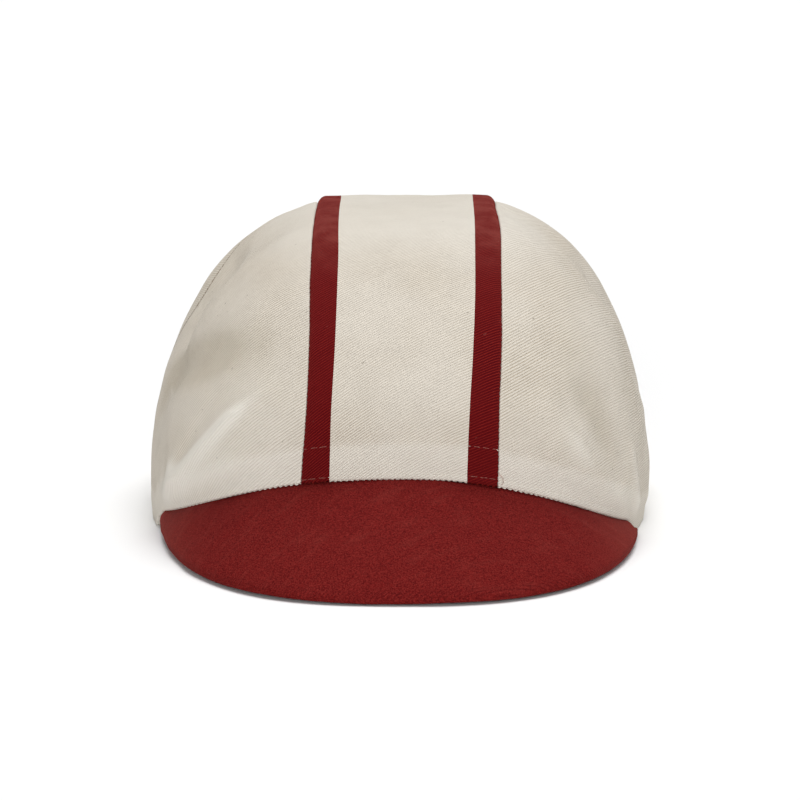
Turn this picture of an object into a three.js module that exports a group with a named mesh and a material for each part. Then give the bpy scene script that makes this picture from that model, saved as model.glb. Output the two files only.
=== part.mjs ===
// A cotton cycling cap, built from its sewn panels. Millimetres, +Z up, front towards -Y.
// The crown is one rounded surface, which every panel, stripe and hem follows with a wall of cloth.
import * as THREE from "three";

// Crown: plan of the rim, height, and how full each side is
const crownHalfWidth = 84.2;
const crownFront = 99;
const crownBack = 98;
const crownHeight = 102.8;
const frontSquareness = 2.5;
const backSquareness = 2.2;
const sideFullness = 2.62;
const frontFullness = 2.4;
const backFullness = 2.35;
const topShiftWidth = 2;
const rimShiftWidth = 0.7;
const sideTuck = 0.012;
const backTuck = 0.05;
const tuckHeight = 38;

// Cloth walls, and the gap that pieces keep
const clothThickness = 1.2;
const pieceGap = 0.3;

// Strip from the brim to the nape, with a stripe along each edge
const stripWidth = 61.6;
const stripTopWidth = 58;
const leftStripeWidth = 7.7;
const rightStripeWidth = 8.4;
const stripRaiseHeight = 1.5;
const stripFlattenHeight = 2.5;
const sideLiftHeight = 2.7;
const liftReach = 40;
const ridgeFade = 24;
const foldedEdgeWidth = 3;
const foldedEdgeHeight = 1;

// Seam between front and back side panels
const seamTopDepth = 22;
const leftSeamHemDepth = 3;
const rightSeamHemDepth = 12;
const seamForwardDepth = 12;

// Hem turned up inside the rim
const hemHeight = 10;

// Brim
const brimReach = 44;
const brimSeamHeight = 29.7;
const leftTipHeight = 7.6;
const rightTipHeight = 5.3;
const brimSeamHalfWidth = 78;
const brimHalfWidth = 78.6;
const brimTipLength = 1;
const brimWidestDepth = 30;
const brimOutlinePower = 2.42;
const brimThickness = 3;
const brimClearanceHeight = 0.2;
const brimTipLiftHeight = 1;
const brimBowHeight = 1.4;
const brimEdgeThickness = 1.8;
const brimTipTaperLength = 6;
const brimUnderWallDepth = 1;
const leftArchPower = 2.8;
const rightArchPower = 2.4;
const hemDropLength = 12;

// Gathers that the elastic draws into the back hem
const gatherDepth = 1.1;
const gatherCount = 40;
const gatherHalfAngle = 0.95;
const gatherReach = 24;

// Folds of the front side panels. Each runs on the crown through three points. across is a share of the crown's
// half-width at that height, negative on the left, and up is a share of the crown's height. width and depth are
// shares of the two sizes below, and a negative depth is a valley.
const foldWidth = 10;
const foldDepth = 2;
const folds = [
  { across: [-0.93, -0.86, -0.79], up: [0.1, 0.32, 0.52], width: 0.45, depth: 0.65 },
  { across: [-0.91, -0.78, -0.56], up: [0.12, 0.33, 0.53], width: 0.5, depth: 0.75 },
  { across: [-0.9, -0.77, -0.56], up: [0.12, 0.24, 0.34], width: 0.6, depth: 0.5 },
  { across: [-0.88, -0.83, -0.72], up: [0.2, 0.36, 0.56], width: 0.5, depth: -0.45 },
  { across: [-0.98, -0.94, -0.66], up: [0.4, 0.54, 0.66], width: 0.9, depth: -0.9 },
  { across: [-0.99, -0.997, -0.99], up: [0.5, 0.67, 0.82], width: 1.6, depth: -1.3 },
  { across: [0.92, 0.78, 0.6], up: [0.07, 0.24, 0.47], width: 0.7, depth: 0.75 },
  { across: [0.94, 0.92, 0.89], up: [0.06, 0.18, 0.36], width: 0.5, depth: 0.6 },
  { across: [0.86, 0.82, 0.82], up: [0.16, 0.36, 0.58], width: 0.7, depth: -0.55 },
  { across: [0.98, 0.985, 0.97], up: [0.44, 0.63, 0.82], width: 1.9, depth: -1.6 },
  { across: [0.98, 0.99, 0.985], up: [0.04, 0.14, 0.3], width: 1, depth: 0.6 },
];
const foldSteps = 12;

// Mesh steps
const sideColumns = 24;
const sideRows = 15;
const backColumns = 26;
const backRows = 9;
const stripRows = 36;
const centreColumns = 8;
const brimColumns = 34;
const closestHeadings = 0.012;

const cream = new THREE.MeshStandardMaterial({ color: 0xd8d2c6, roughness: 0.9, metalness: 0 });
const burgundy = new THREE.MeshStandardMaterial({ color: 0x721b1e, roughness: 0.85, metalness: 0 });

const mix = THREE.MathUtils.lerp;
const clamp = THREE.MathUtils.clamp;
const up = new THREE.Vector3(0, 0, 1);
const smooth = (share) => THREE.MathUtils.smoothstep(share, 0, 1);
// The crown leans a little: its axis drifts to the right as it rises.
const axisX = (z) => mix(-rimShiftWidth, topShiftWidth, z / crownHeight);
const heading = (p) => Math.atan2(p.x - axisX(p.z), -p.y);

// Root of a function that rises through zero between low and high.
function rootBetween(value, low, high) {
  for (let step = 0; step < 40; step++) {
    const middle = (low + high) / 2;
    if (value(middle) < 0) low = middle;
    else high = middle;
  }
  return (low + high) / 2;
}

// The rim's distance from the crown's axis. An angle is 0 at the front and positive to the right.
function planRadius(angle) {
  const front = Math.cos(angle) > 0;
  const power = front ? frontSquareness : backSquareness;
  const depth = front ? crownFront : crownBack;
  const across = Math.abs(Math.sin(angle)) / crownHalfWidth;
  const along = Math.abs(Math.cos(angle)) / depth;
  return (across ** power + along ** power) ** (-1 / power);
}

function fullness(angle) {
  const end = Math.cos(angle) > 0 ? frontFullness : backFullness;
  return mix(end, sideFullness, Math.sin(angle) ** 2);
}

// The rim is drawn in a little, most at the back.
function tuck(angle, z) {
  const amount = mix(sideTuck, backTuck, smooth(-Math.cos(angle)));
  return 1 - amount * (1 - clamp(z / tuckHeight, 0, 1)) ** 2;
}

// Negative inside the crown, zero on its surface.
function crownField(p) {
  const angle = heading(p);
  const power = fullness(angle);
  const out = Math.hypot(p.x - axisX(p.z), p.y) / (planRadius(angle) * tuck(angle, p.z));
  return out ** power + (Math.max(p.z, 0) / crownHeight) ** power - 1;
}

function crownNormal(p) {
  const step = 0.4;
  const slope = (axis) => {
    const ahead = p.clone();
    const behind = p.clone();
    ahead[axis] += step;
    behind[axis] -= step;
    return crownField(ahead) - crownField(behind);
  };
  return new THREE.Vector3(slope("x"), slope("y"), slope("z")).normalize();
}

// The crown's point in a direction from the middle of its rim.
function crownAlong(direction) {
  const far = 2 * Math.max(crownFront, crownBack, crownHeight, crownHalfWidth);
  const unit = direction.clone().normalize();
  const reach = rootBetween((r) => crownField(unit.clone().multiplyScalar(r)), 0, far);
  return unit.multiplyScalar(reach);
}

// The crown's point at a distance across from its axis and an angle of turn over the top: 0 at the front rim and
// PI at the back.
function crownOver(across, turn) {
  const far = 2 * Math.max(crownFront, crownBack, crownHeight);
  const at = (r) => new THREE.Vector3(axisX(r * Math.sin(turn)) + across, -r * Math.cos(turn), r * Math.sin(turn));
  return at(rootBetween((r) => crownField(at(r)), 0, far));
}

// The crown's point at a heading and a height.
function crownAt(angle, z) {
  const power = fullness(angle);
  const shrink = (1 - (z / crownHeight) ** power) ** (1 / power);
  const r = planRadius(angle) * tuck(angle, z) * shrink;
  return new THREE.Vector3(axisX(z) + r * Math.sin(angle), -r * Math.cos(angle), z);
}

const brimEndAngle = rootBetween((a) => planRadius(a) * Math.sin(a) - brimSeamHalfWidth, 0, Math.PI / 2);

// Height of the crown's lower edge: an arch over the brim, down to the flat rim past the brim's tips.
function rimHeight(angle) {
  const tipHeight = angle > 0 ? rightTipHeight : leftTipHeight;
  const away = Math.abs(angle) - brimEndAngle;
  if (away > 0) return tipHeight * (1 - smooth((away * planRadius(angle)) / hemDropLength));
  const share = (planRadius(angle) * Math.abs(Math.sin(angle))) / brimSeamHalfWidth;
  const power = angle > 0 ? rightArchPower : leftArchPower;
  return mix(tipHeight, brimSeamHeight, 1 - Math.min(share, 1) ** power);
}

function rimPoint(angle) {
  return crownAt(angle, rimHeight(angle));
}

// A fold's line on the crown: the quadratic curve through its three points, laid on the front half.
function foldLine(fold) {
  const pass = ([a, b, c], t) => a * (1 - t) * (1 - 2 * t) + 4 * b * t * (1 - t) + c * t * (2 * t - 1);
  const points = [];
  for (let i = 0; i <= foldSteps; i++) {
    const across = pass(fold.across, i / foldSteps);
    const z = pass(fold.up, i / foldSteps) * crownHeight;
    const side = Math.sign(across);
    const width = (angle) => side * (crownAt(side * angle, z).x - axisX(z));
    const target = Math.abs(across) * width(Math.PI / 2);
    points.push(crownAt(side * rootBetween((angle) => width(angle) - target, 0, Math.PI / 2), z));
  }
  return points;
}

const foldLines = folds.map((fold) => ({ ...fold, points: foldLine(fold) }));

// Height of the folds above the plain crown, smooth across each fold and dying out at its ends.
function foldRelief(p) {
  let relief = 0;
  for (const { points, width, depth } of foldLines) {
    let nearest = Infinity;
    let place = 0;
    points.forEach((q, i) => {
      const distance = q.distanceTo(p);
      if (distance < nearest) {
        nearest = distance;
        place = i / foldSteps;
      }
    });
    const along = smooth(4 * place) * smooth(4 * (1 - place)) * 0.6 + 0.4;
    relief += foldDepth * depth * along * Math.exp(-((nearest / (foldWidth * width)) ** 2));
  }
  return relief;
}

function gatherRelief(p) {
  const fromBack = Math.PI - Math.abs(heading(p));
  const window = 1 - smooth(fromBack / gatherHalfAngle);
  const wave = Math.cos(fromBack * gatherCount);
  return gatherDepth * wave * window * Math.exp(-p.z / gatherReach);
}

// 0 at the lower edge and 1 from a height above it.
function aboveRim(p, height) {
  return smooth((p.z - rimHeight(heading(p))) / height);
}

// Half of the strip's width at a turn over the top.
const stripHalf = (turn) => mix(stripWidth, stripTopWidth, Math.sin(turn)) / 2;

function sideRelief(p) {
  const turn = Math.atan2(p.z, -p.y);
  const away = Math.max(Math.abs(p.x - axisX(p.z)) - stripHalf(turn), 0);
  const lift = sideLiftHeight * Math.exp(-away / liftReach) * aboveRim(p, ridgeFade);
  const fold = foldRelief(p);
  const valleys = Math.min(fold, 0) * aboveRim(p, 3 * hemHeight);
  return lift + Math.max(fold, 0) * aboveRim(p, hemHeight) + valleys + gatherRelief(p);
}

// The strip stands proud of the side panels and is flatter across, with its edges folded under.
function stripRelief(p, turn) {
  const half = stripHalf(turn);
  const across = Math.abs(p.x - axisX(p.z));
  const edge = clamp((across - half + foldedEdgeWidth) / foldedEdgeWidth, 0, 1);
  const ridge = stripRaiseHeight + stripFlattenHeight * (across / half) ** 2 - foldedEdgeHeight * edge ** 2;
  return ridge * aboveRim(p, ridgeFade) + gatherRelief(p);
}

// Outer and inner point of a cloth wall whose face lies at a relief above the crown.
function wall(p, relief, thickness = clothThickness) {
  const normal = crownNormal(p);
  return {
    outer: p.clone().addScaledVector(normal, relief),
    inner: p.clone().addScaledVector(normal, relief - thickness),
  };
}

function flatEdge(pair, z) {
  pair.outer.z = z;
  pair.inner.z = z;
  return pair;
}

// A closed shell from a grid of outer and inner points. A column that shrinks to a point closes as a corner.
function shell(grid, loop = false) {
  const positions = [];
  const known = new Map();
  const vertex = (v) => {
    const key = [v.x, v.y, v.z].map((n) => Math.round(n * 1e3)).join();
    if (!known.has(key)) {
      known.set(key, positions.length / 3);
      positions.push(v.x, v.y, v.z);
    }
    return known.get(key);
  };
  const faces = [];
  const quad = (a, b, c, d) => {
    for (const face of [[a, b, c], [a, c, d]]) {
      const [p, q, r] = face.map(vertex);
      if (p !== q && q !== r && r !== p) faces.push(p, q, r);
    }
  };
  const columns = loop ? grid.length : grid.length - 1;
  const rows = grid[0].length - 1;
  for (let i = 0; i < columns; i++) {
    const here = grid[i];
    const next = grid[(i + 1) % grid.length];
    for (let j = 0; j < rows; j++) {
      quad(here[j].outer, here[j + 1].outer, next[j + 1].outer, next[j].outer);
      quad(here[j].inner, next[j].inner, next[j + 1].inner, here[j + 1].inner);
    }
    quad(here[0].outer, next[0].outer, next[0].inner, here[0].inner);
    quad(here[rows].outer, here[rows].inner, next[rows].inner, next[rows].outer);
  }
  if (!loop) {
    const first = grid[0];
    const last = grid[columns];
    for (let j = 0; j < rows; j++) {
      quad(first[j].outer, first[j].inner, first[j + 1].inner, first[j + 1].outer);
      quad(last[j].outer, last[j + 1].outer, last[j + 1].inner, last[j].inner);
    }
  }
  const geometry = new THREE.BufferGeometry();
  geometry.setAttribute("position", new THREE.Float32BufferAttribute(positions, 3));
  geometry.setIndex(signedVolume(positions, faces) < 0 ? faces.reverse() : faces);
  geometry.computeVertexNormals();
  return geometry;
}

function signedVolume(positions, faces) {
  const at = (i) => new THREE.Vector3().fromArray(positions, 3 * i);
  let volume = 0;
  for (let i = 0; i < faces.length; i += 3) {
    volume += at(faces[i]).dot(at(faces[i + 1]).cross(at(faces[i + 2]))) / 6;
  }
  return volume;
}

// A point of the strip's edge line: side is -1 or 1, and away is the distance outside the edge.
function stripEdge(side, turn, away) {
  return crownOver(side * (stripHalf(turn) + away), turn);
}

// The turn at which a line over the crown leaves the front rim.
function frontTurn(line) {
  const above = (turn) => {
    const p = line(turn);
    return p.z - rimHeight(heading(p));
  };
  return rootBetween(above, 0, Math.PI / 3);
}

// One side panel between the strip and the rim, from fromSeam to the front or the back corner. Its columns run
// down from the strip's edge to the rim, and the one at the side seam follows that seam.
function sideGrid(side, front) {
  const columns = front ? sideColumns : backColumns;
  const rows = front ? sideRows : backRows;
  const seamHemDepth = side < 0 ? leftSeamHemDepth : rightSeamHemDepth;
  const shift = (front ? -1 : 1) * (pieceGap / 2);
  const edge = (turn) => stripEdge(side, turn, pieceGap / 2);
  const seamTurn = rootBetween((turn) => edge(turn).y - seamTopDepth - shift, 0, Math.PI);
  const seamAngle = rootBetween((a) => -planRadius(a) * Math.cos(a) - seamHemDepth - shift, 0, Math.PI);
  const cornerTurn = front ? frontTurn(edge) : Math.PI;
  const cornerAngle = Math.abs(heading(edge(cornerTurn)));
  const line = (turn, angle, forward, k) => {
    const top = edge(turn);
    const hem = rimPoint(side * angle);
    const unit = top.clone().normalize();
    const spread = unit.angleTo(hem);
    if (spread < 1e-4) return hem;
    const bearing = new THREE.Vector3()
      .addScaledVector(unit, Math.sin((1 - k) * spread))
      .addScaledVector(hem.clone().normalize(), Math.sin(k * spread));
    bearing.divideScalar(Math.sin(spread));
    bearing.y -= (forward / top.length()) * Math.sin(Math.PI * k);
    return crownAlong(bearing);
  };
  const grid = [];
  for (let i = 0; i <= columns; i++) {
    const toSeam = front ? i / columns : 1 - i / columns;
    const turn = mix(cornerTurn, seamTurn, toSeam);
    const angle = mix(cornerAngle, seamAngle, toSeam);
    const column = [];
    for (let j = 0; j <= rows; j++) {
      const p = line(turn, angle, seamForwardDepth * toSeam ** 2, j / rows);
      const pair = wall(p, sideRelief(p));
      const z = rimHeight(side * angle);
      column.push(j === rows || (i === (front ? 0 : columns)) ? flatEdge(pair, z) : pair);
    }
    grid.push(column);
  }
  return grid;
}

// A band of the strip between two lines, given as shares of the strip's half-width plus a gap.
function stripGrid(places) {
  return places.map(({ share, gap }) => {
    const line = (turn) => crownOver(share * stripHalf(turn) + gap, turn);
    const start = frontTurn(line);
    const column = [];
    for (let j = 0; j <= stripRows; j++) {
      const turn = mix(start, Math.PI, j / stripRows);
      const p = line(turn);
      const pair = wall(p, stripRelief(p, turn));
      const end = j === 0 || j === stripRows;
      column.push(end ? flatEdge(pair, rimHeight(heading(p))) : pair);
    }
    return column;
  });
}

const leftStripeShare = 1 - (2 * leftStripeWidth) / stripWidth;
const rightStripeShare = 1 - (2 * rightStripeWidth) / stripWidth;
const foldShare = 1 - (2 * foldedEdgeWidth) / stripWidth;

const centrePlaces = Array.from({ length: centreColumns + 1 }, (_, i) => {
  const across = i / centreColumns;
  const share = mix(-leftStripeShare, rightStripeShare, across);
  return { share, gap: mix(pieceGap, -pieceGap, across) / 2 };
});

function stripePlaces(side) {
  const stripeShare = side < 0 ? leftStripeShare : rightStripeShare;
  return [
    { share: side * stripeShare, gap: (side * pieceGap) / 2 },
    { share: (side * (stripeShare + foldShare)) / 2, gap: 0 },
    { share: side * foldShare, gap: 0 },
    { share: side, gap: (-side * pieceGap) / 2 },
  ];
}

// The hem inside the rim. Its columns stand at the headings of the panels' own columns, so that it fits their
// facets, and over the brim it reaches down past the brim's inner edge.
function hemGrid(headings) {
  return headings.map((angle) => {
    const low = rimHeight(angle);
    const overBrim = Math.abs(angle) < brimEndAngle ? 1 : 0;
    const behind = clothThickness + pieceGap;
    const bottom = low - overBrim * Math.min(brimThickness, low);
    return [low + hemHeight, bottom].map((z, row) => {
      const p = crownAt(angle, z);
      const pair = wall(p, gatherRelief(p) - behind);
      return row === 1 ? flatEdge(pair, bottom) : pair;
    });
  });
}

// How far forward the brim's outline is. A sweep is 0 in the middle and a quarter turn where it is widest.
function brimEdgeY(sweep) {
  const share = Math.abs(Math.sin(sweep)) ** brimOutlinePower;
  return -brimWidestDepth - (crownFront + brimReach - brimWidestDepth) * (1 - share) ** (1 / brimOutlinePower);
}

const brimTipY = rimPoint(brimEndAngle).y - brimTipLength;
const brimEndSweep = rootBetween((sweep) => brimEdgeY(sweep) - brimTipY, 0, Math.PI / 2);

// Middle surface of the brim: u runs from tip to tip, v from the seam to the outer edge.
function brimMiddle(u, v) {
  const angle = u * brimEndAngle;
  const rim = rimPoint(angle);
  const out = new THREE.Vector3(rim.x, rim.y, 0).normalize();
  const seam = rim.clone().addScaledVector(out, -brimUnderWallDepth);
  seam.z -= pieceGap + brimThickness / 2;
  const sweep = u * brimEndSweep;
  const z = brimEdgeThickness / 2 + brimClearanceHeight + brimTipLiftHeight * Math.abs(u) ** 3;
  const edge = new THREE.Vector3(brimHalfWidth * Math.sin(sweep), brimEdgeY(sweep), z);
  const p = seam.lerp(edge, v);
  p.z += brimBowHeight * 4 * v * (1 - v) * Math.cos(sweep);
  return p;
}

function brimNormal(u, v) {
  const step = 0.01;
  const lowU = Math.max(u - step, -1);
  const highU = Math.min(u + step, 1);
  const lowV = Math.max(v - step, 0);
  const highV = Math.min(v + step, 1);
  const across = brimMiddle(highU, v).sub(brimMiddle(lowU, v));
  const along = brimMiddle(u, highV).sub(brimMiddle(u, lowV));
  return along.cross(across).normalize();
}

// A cover of the brim on its upper or under side, rounded down to the middle at the outer edge.
function brimCover(upper) {
  const rows = [0, 0.18, 0.36, 0.54, 0.72, 0.88, 0.97, 1];
  const squareCut = rows[1];
  const roundFrom = rows.at(-3);
  const side = upper ? 1 : -1;
  const inside = side * (pieceGap / 2);
  const tipColumns = (brimEndAngle * planRadius(brimEndAngle)) / brimTipTaperLength;
  const grid = [];
  for (let i = 0; i <= brimColumns; i++) {
    const u = (2 * i) / brimColumns - 1;
    grid.push(
      rows.map((v) => {
        const p = brimMiddle(u, v);
        const normal = up.clone().lerp(brimNormal(u, v), smooth(v / squareCut)).normalize();
        const round = Math.max(v - roundFrom, 0) / (1 - roundFrom);
        const whole = Math.sqrt(1 - round ** 2) * Math.min((1 - Math.abs(u)) * tipColumns, 1);
        const half = mix(brimEdgeThickness, brimThickness, whole) / 2;
        return {
          outer: p.clone().addScaledVector(normal, side * half),
          inner: p.clone().addScaledVector(normal, inside),
        };
      }),
    );
  }
  return grid;
}

const cap = new THREE.Group();

function addPiece(name, geometry, material) {
  const piece = new THREE.Mesh(geometry, material);
  piece.name = name;
  cap.add(piece);
}

const frontLeft = sideGrid(-1, true);
const backLeft = sideGrid(-1, false);
const frontRight = sideGrid(1, true);
const backRight = sideGrid(1, false);
const centre = stripGrid(centrePlaces);
const stripeLeft = stripGrid(stripePlaces(-1));
const stripeRight = stripGrid(stripePlaces(1));

addPiece("side_panel_front_left", shell(frontLeft), cream);
addPiece("side_panel_front_right", shell(frontRight), cream);
addPiece("side_panel_back_left", shell(backLeft), cream);
addPiece("side_panel_back_right", shell(backRight), cream);
addPiece("centre_panel", shell(centre), cream);
addPiece("stripe_left", shell(stripeLeft), burgundy);
addPiece("stripe_right", shell(stripeRight), burgundy);

const hemEnds = [frontLeft, backLeft, frontRight, backRight].flatMap((grid) => grid.map((c) => c.at(-1)));
const stripEnds = [centre, stripeLeft, stripeRight].flat().flatMap((c) => [c[0], c.at(-1)]);
const headings = [...hemEnds, ...stripEnds].map((pair) => heading(pair.outer)).sort((a, b) => a - b);
const hemHeadings = headings.filter((angle, i) => i === 0 || angle - headings[i - 1] > closestHeadings);
addPiece("hem_band", shell(hemGrid(hemHeadings), true), cream);

addPiece("brim_upper_cover", shell(brimCover(true)), burgundy);
addPiece("brim_under_cover", shell(brimCover(false)), burgundy);

// The frame's origin is on the surface that the cap stands on, under the middle of its bounding box.
const extent = new THREE.Box3().setFromObject(cap);
const middle = extent.getCenter(new THREE.Vector3());
cap.position.set(-middle.x, -middle.y, -extent.min.z);

export default cap;
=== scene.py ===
"""The looks of a cotton cycling cap: twill panels, hem, seams, stitches and a brushed brim, in a studio.

The pieces are worked out in millimetres about the crown's own axis, with the front towards -Y, and new_mesh
moves them onto the frame. A pair of values is for the left and the right.
"""
import math

import bmesh
import bpy
import numpy as np
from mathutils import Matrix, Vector


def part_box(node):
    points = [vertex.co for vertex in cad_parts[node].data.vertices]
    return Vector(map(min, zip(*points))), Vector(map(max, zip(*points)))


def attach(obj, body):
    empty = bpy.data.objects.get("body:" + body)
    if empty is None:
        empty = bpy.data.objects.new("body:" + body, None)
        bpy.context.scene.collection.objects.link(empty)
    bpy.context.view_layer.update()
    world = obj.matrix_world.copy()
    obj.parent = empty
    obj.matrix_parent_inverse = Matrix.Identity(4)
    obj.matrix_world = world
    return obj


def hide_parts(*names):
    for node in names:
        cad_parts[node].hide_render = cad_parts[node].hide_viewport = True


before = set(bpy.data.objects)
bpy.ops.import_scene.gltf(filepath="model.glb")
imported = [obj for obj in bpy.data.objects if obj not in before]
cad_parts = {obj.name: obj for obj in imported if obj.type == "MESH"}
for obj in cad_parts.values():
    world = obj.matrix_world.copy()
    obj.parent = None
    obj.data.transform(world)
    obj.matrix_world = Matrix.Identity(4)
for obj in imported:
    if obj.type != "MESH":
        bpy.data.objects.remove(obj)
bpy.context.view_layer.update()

# Crown: plan of the rim, height, and how full each side is
CROWN_HALF_WIDTH = 84.2
CROWN_FRONT = 99
CROWN_BACK = 98
CROWN_HEIGHT = 102.8
FRONT_SQUARENESS = 2.5
BACK_SQUARENESS = 2.2
SIDE_FULLNESS = 2.62
FRONT_FULLNESS = 2.4
BACK_FULLNESS = 2.35
TOP_SHIFT = 2
RIM_SHIFT = 0.7
AXIS_PLACE = 0.37
SIDE_TUCK = 0.012
BACK_TUCK = 0.05
TUCK_HEIGHT = 38

# Cloth: its thickness, the gaps, its rounded edges, and how far from a seam its inner face stays plain
CLOTH = 1.2
SEAM_GAP = 0.05
BRIM_GAP = 0.3
PANEL_EDGE_RADIUS = 0.6
STRIP_EDGE_RADIUS = 0.35
HEM_EDGE_RADIUS = 0.4
PLAIN_WIDTH = 1.4
RIB_PITCH = 0.8

# Strip from the brim to the nape, with a stripe along each edge. The values for the top set in where the sine
# of the turn over it passes those that end in FROM.
STRIP_RAISE = 0.85
STRIP_FLATTEN = 2.9
SIDE_LIFT = 2.7
LIFT_REACH = 32
TOP_LIFT_SHARE = 0.72
TOP_LIFT_REACH = 9
TOP_LIFT_FROM = 0.8
RIDGE_FADE = 24
FOLDED_EDGE_WIDTH = 3.2
FOLDED_EDGE_HEIGHT = 1.1
TOP_EDGE_HEIGHT = 2.3
TOP_EDGE_FROM = 0.85
# How far the four edges of the two stripes lie from the strip's middle, by the turn over the top in degrees
STRIP_EDGES = dict(
    turn=[8, 19, 28, 40, 57, 72, 96, 140, 180],
    left=[32.2, 31.7, 30.3, 29.9, 30.3, 30.4, 29.8, 30.3, 30.8],
    left_inner=[22.8, 22.7, 22.4, 21.8, 21.6, 22, 21.8, 22.5, 23.1],
    right_inner=[21.6, 21.2, 21.1, 21.9, 22.3, 22.2, 22.1, 22.2, 22.4],
    right=[31.4, 31.1, 30.4, 30.8, 30.6, 30.7, 29.8, 30.3, 30.8],
)

# Crease across both stripes behind the top, by the turn in radians
CREASE_DEPTH = 0.3
CREASE_TURN = 1.7
CREASE_WIDTH = 0.018

# Seam between front and back side panels
SEAM_TOP_DEPTH = 22
SEAM_HEM_DEPTHS = (3, 12)
SEAM_FORWARD = (15, 0)
SEAM_BUMP_PLACE = 0.36
SEAM_BUMP_WIDTH = 0.2

# Hem: how high the upper and lower stitch rows run, and the roll at its lower edge
HEM_HEIGHT = 10
UPPER_ROW = 11.1
UPPER_ROW_TILT = 0.5
LOWER_ROW = 1.6
LOWER_ROW_TILT = 0.7
ROW_TILT_REACH = 0.36
ROW_GROOVE = 0.07
ROW_WIDTH = 0.5
ROW_PULL = 0.35
HEM_RADIUS = 90
ROLL_HEIGHT = 1.2
ROLL_BULGE = 0.1
ROLL_REACH = 0.9
RIM_TOOTH = 1.87
RIM_TOOTH_DEPTH = 0.42
LOBE_HEIGHT = 0.22
OVER_BRIM_FADE = 0.04

# Hem band: the cloth turned up inside the rim, by the heights of its rows
HEM_BAND_RISE = np.array([0, 0.12, 0.3, 0.6, 1, 1.6, 2.6, 4, 6, 8.5, 11, 12.6, 13.2, 13.6])
HEM_BAND_THICKNESS = 1.05
HEM_BAND_GAP = 0.05

# Brim
BRIM_REACH = 47.4
BRIM_AHEAD = 1.6
BRIM_SEAM_HEIGHT = 29.7
TIP_HEIGHTS = (6.9, 5.3)
SEAM_HALF_WIDTHS = (80.6, 78)
BRIM_HALF_WIDTHS = (78.9, 79.1)
BRIM_TIP_LENGTH = 1
BRIM_WIDEST_DEPTH = 22
BRIM_OUTLINE_POWER = 2.55
BRIM_THICKNESS = 3
BRIM_CLEARANCE = 0.2
BRIM_TIP_LIFT = 1
BRIM_BOW = 1.4
BRIM_EDGE_THICKNESS = 1.8
BRIM_TIP_TAPER = 6
BRIM_UNDER_WALL = 1
BRIM_DEPTH = 44
BRIM_UPRIGHT_SHARE = 0.18
BRIM_ROUND_FROM = 0.86
UNDER_COVER_REACH = 0.965
EDGE_ROLL = (78, -86, 15)  # from and to in degrees, and rows
ARCH_POWERS = (2.58, 2.27)
HEM_DROP = 6
TIP_DROP = 2.2
TIP_DROP_SHARE = 0.022

# Gathers that the elastic draws into the back hem
GATHER_DEPTH = 1.1
GATHER_COUNT = 40
GATHER_HALF_ANGLE = 0.95
GATHER_REACH = 24
PLEAT_DEPTH = 0.35
PLEAT_COUNT = 97
PLEAT_PHASE = 1.3
PLEAT_REACH = 13

# Stitches
STITCH_LENGTH = 2.6
STITCH_GAP = 0.45
THREAD_RADIUS = 0.065
STRIPE_WIDTH = 9
SEAM_STITCH = 1.9
SCALLOP = 0.22
SCALLOP_REACH = 0.8
SEAM_TUCK = 0.07
STITCH_STEPS = 7
STITCH_BOW = 0.13
STITCH_SINK = 0.1
THREAD_SIDES = 6

# How much of its rounding a sewn edge shows at a stitch and halfway between two
PANEL_TOP_DIP = (0.75, 1.1)
PANEL_SEAM_DIP = (0.7, 1)
STRIP_DIP = (1, 0.7)

# Loose end of thread: where it starts, and points in millimetres beside that place and above the rim
LOOSE_END_ACROSS = 31.2
LOOSE_END_TURN = 17
LOOSE_CURL = [(0.1, 4.6), (0.5, 3.9), (1.1, 3.4), (1.6, 2.6), (1.7, 1.7), (1.3, 0.9), (0.7, 0.7)]
LOOSE_KNOT = [(-0.6, 11.6), (-0.1, 11.3), (0.1, 11.2)]

# Waves of the cloth: length, seed and height
PANEL_WAVES = [(34, 3, 0.2), (13, 4, 0.07)]
BRIM_WAVES = [(26, 21, 0.12), (9, 22, 0.04)]
HEM_BAND_WAVES = [(7, 11, 0.1)]

# Puckers beside a seam: their height, and for each seam their reach, length and seed
PUCKER = 0.07
HEM_PUCKER = (1.3 * UPPER_ROW, 9, 5)
PANEL_PUCKER = (5, 8, 8)
STRIP_PUCKER = (4, 7, 9)

# Weaves: the rise of the ribs in degrees on a piece's left and right, and how far out these hold. The side
# panels go by their side and by whether they are in front.
SIDE_WEAVE = {
    (-1, True): (52, 49, 60),
    (1, True): (8, 11, 60),
    (-1, False): (48, 52, 60),
    (1, False): (12, 8, 60),
}
STRIP_WEAVE = (41, 17, 31)
HEM_WEAVE = (30, 30, 60)
BRIM_WEAVE = (24, 24, 80)

# Middle of the side panels, about which their cloth is laid out flat
FRONT_BEARING = 48
BACK_BEARING = 132
SIDE_ELEVATION = 34
SIDE_RADIUS = 95

# Columns and rows of the meshes
FRONT_PANEL_GRID = (250, 150)
BACK_PANEL_GRID = (150, 90)
CENTRE_GRID = (73, 430)
STRIPE_GRID = (19, 1000)
HEM_BAND_COLUMNS = 420
UPPER_COVER_GRID = (301, 71)
UNDER_COVER_GRID = (201, 41)
SHARP_ANGLE = 55

# Stands for a distance that is too long to matter
FAR = 50.0

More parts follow.
